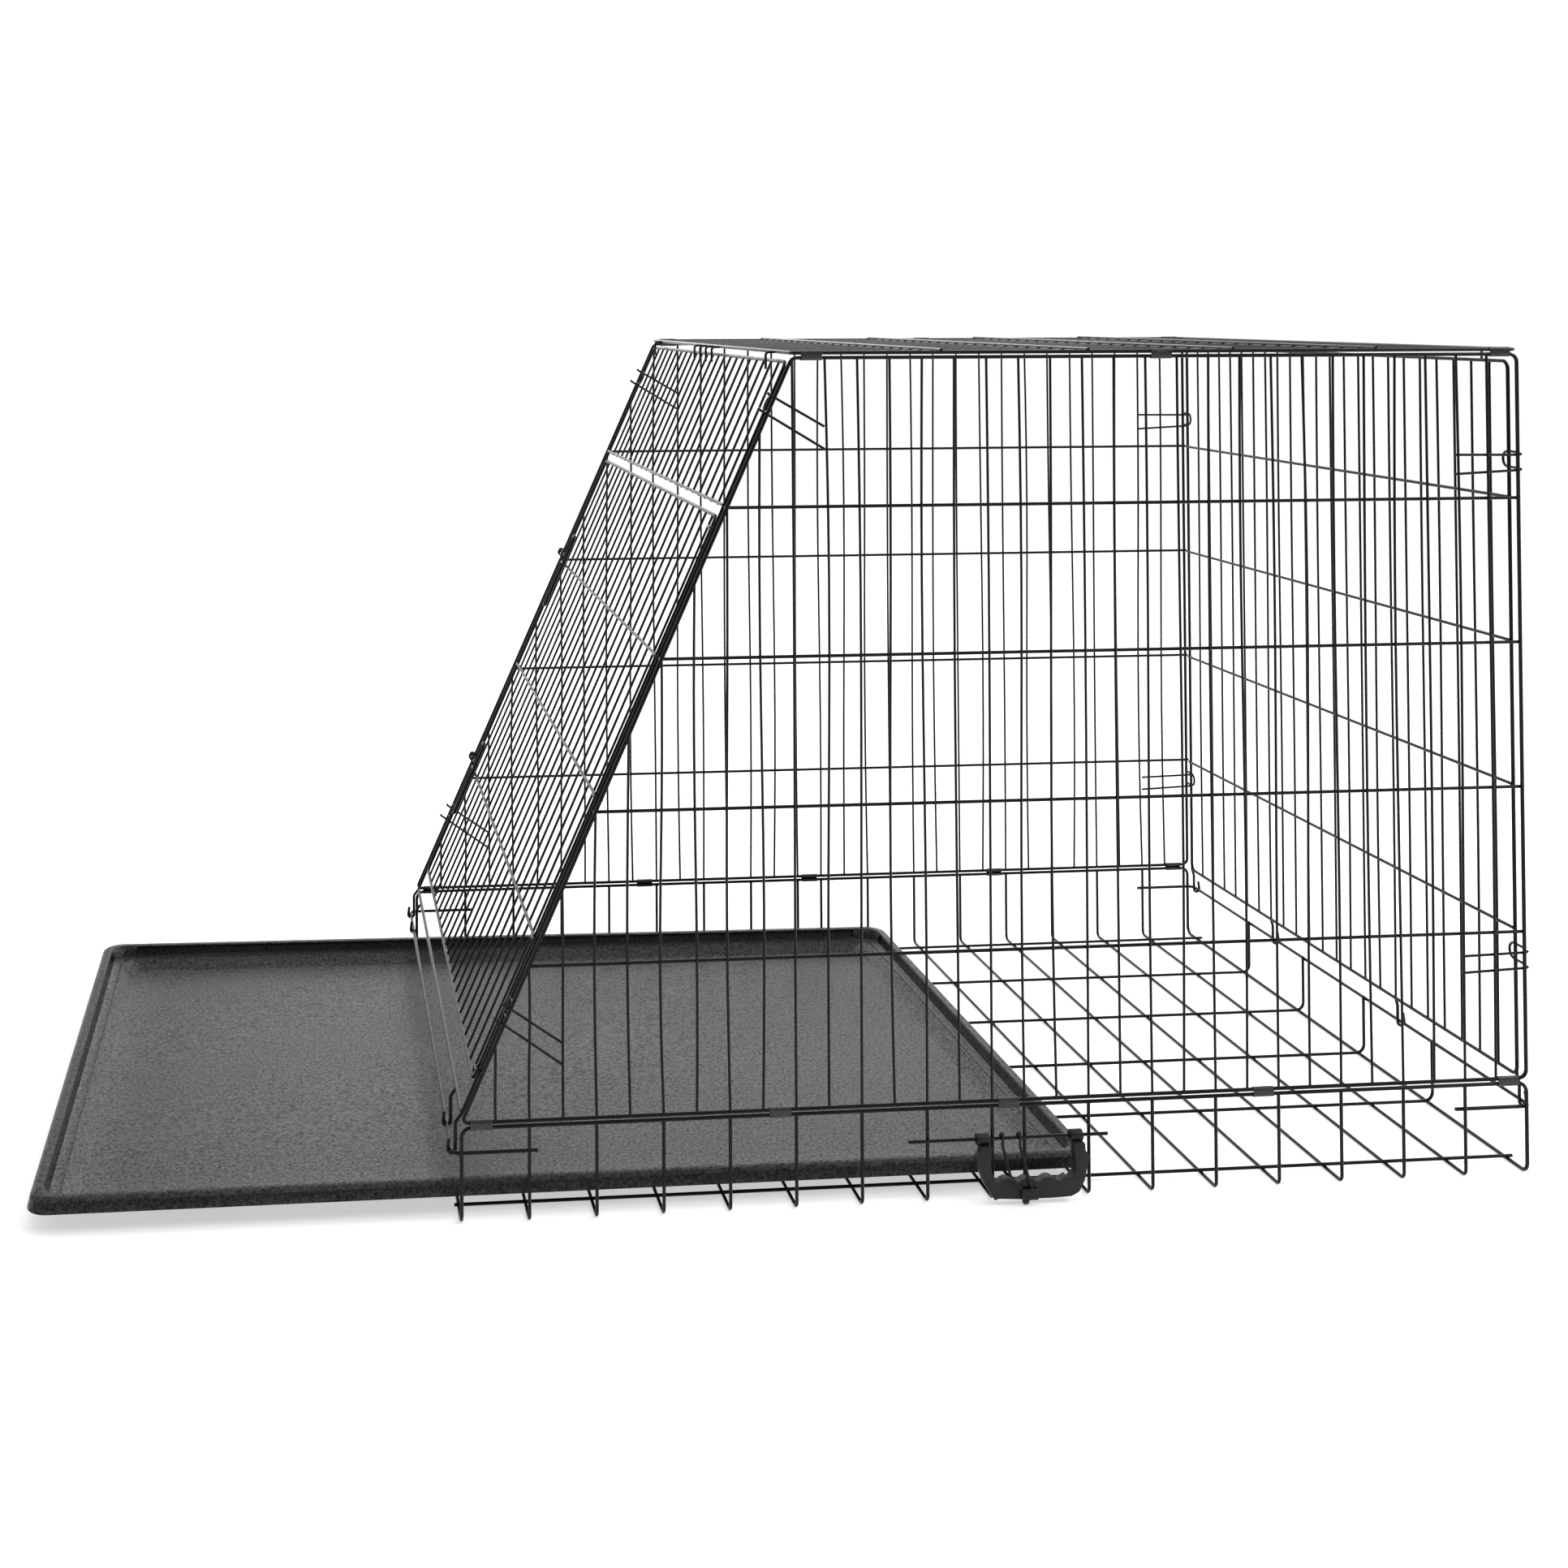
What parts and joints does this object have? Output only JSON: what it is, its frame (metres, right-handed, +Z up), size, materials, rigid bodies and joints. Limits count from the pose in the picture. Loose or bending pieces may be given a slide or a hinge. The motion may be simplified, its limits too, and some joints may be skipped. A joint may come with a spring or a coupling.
{
  "type": "folding car dog cage",
  "caption": "Folding welded-wire dog cage for a car boot, with a sloped front, a hinged door in it, slide bolts, a pull-out tray and a carry handle.",
  "frame": {"origin": "on the ground, under the middle of the overall outline, with the tray drawn part way out of the front", "axes": "+X from the sloped front to the upright back, +Y to the far side, +Z up"},
  "size_m": [1.2838, 0.6584, 0.7135],
  "materials": {
    "black_wire": "satin black coating",
    "clip_steel": "satin black coating on sheet steel",
    "black_plastic": "fine grained moulded plastic"
  },
  "bodies": {
    "cage": {"floor_panel": "black_wire", "near_side_panel": "black_wire", "far_side_panel": "black_wire", "top_panel": "black_wire", "near_bottom_clip_1": "clip_steel", "near_bottom_clip_2": "clip_steel", "near_bottom_clip_3": "clip_steel", "near_bottom_clip_4": "clip_steel", "near_bottom_clip_5": "clip_steel", "far_bottom_clip_1": "clip_steel", "far_bottom_clip_2": "clip_steel", "far_bottom_clip_3": "clip_steel", "far_bottom_clip_4": "clip_steel", "far_bottom_clip_5": "clip_steel", "near_top_clip_1": "clip_steel", "near_top_clip_2": "clip_steel", "near_top_clip_3": "clip_steel", "far_top_clip_1": "clip_steel", "far_top_clip_2": "clip_steel", "far_top_clip_3": "clip_steel"},
    "front_panel": {"front_panel": "black_wire"},
    "door": {"door": "black_wire"},
    "upper_bolt": {"upper_bolt": "black_wire"},
    "lower_bolt": {"lower_bolt": "black_wire"},
    "back_panel": {"back_panel": "black_wire"},
    "tray": {"tray": "black_plastic"},
    "handle": {"handle": "black_plastic", "handle_clasp": "black_wire"}
  },
  "joints": [
    {"name": "front_panel_fold", "type": "hinge", "parent": "cage", "child": "front_panel", "pos_m": [-0.2964, 0.00589, 0.057], "axis": [0, 1, 0], "range_deg": [0, 65.9]},
    {"name": "door_swing", "type": "hinge", "parent": "front_panel", "child": "door", "pos_m": [-0.27705, -0.30161, 0.10897], "axis": [-0.4085, 0, -0.9128], "range_deg": [-110, 0]},
    {"name": "upper_bolt_slide", "type": "slide", "parent": "door", "child": "upper_bolt", "axis": [0, 1, 0], "range_m": [-0.012, 0]},
    {"name": "lower_bolt_slide", "type": "slide", "parent": "door", "child": "lower_bolt", "axis": [0, 1, 0], "range_m": [-0.012, 0]},
    {"name": "back_panel_fold", "type": "hinge", "parent": "cage", "child": "back_panel", "pos_m": [0.6366, 0.00589, 0.057], "axis": [0, 1, 0], "range_deg": [-90, 0]},
    {"name": "tray_slide", "type": "slide", "parent": "cage", "child": "tray", "axis": [1, 0, 0], "range_m": [-0.4, 0.375]},
    {"name": "handle_swing", "type": "hinge", "parent": "cage", "child": "handle", "pos_m": [0.1881, -0.31643, 0.052], "axis": [-1, 0, 0], "range_deg": [0, 100]}
  ]
}
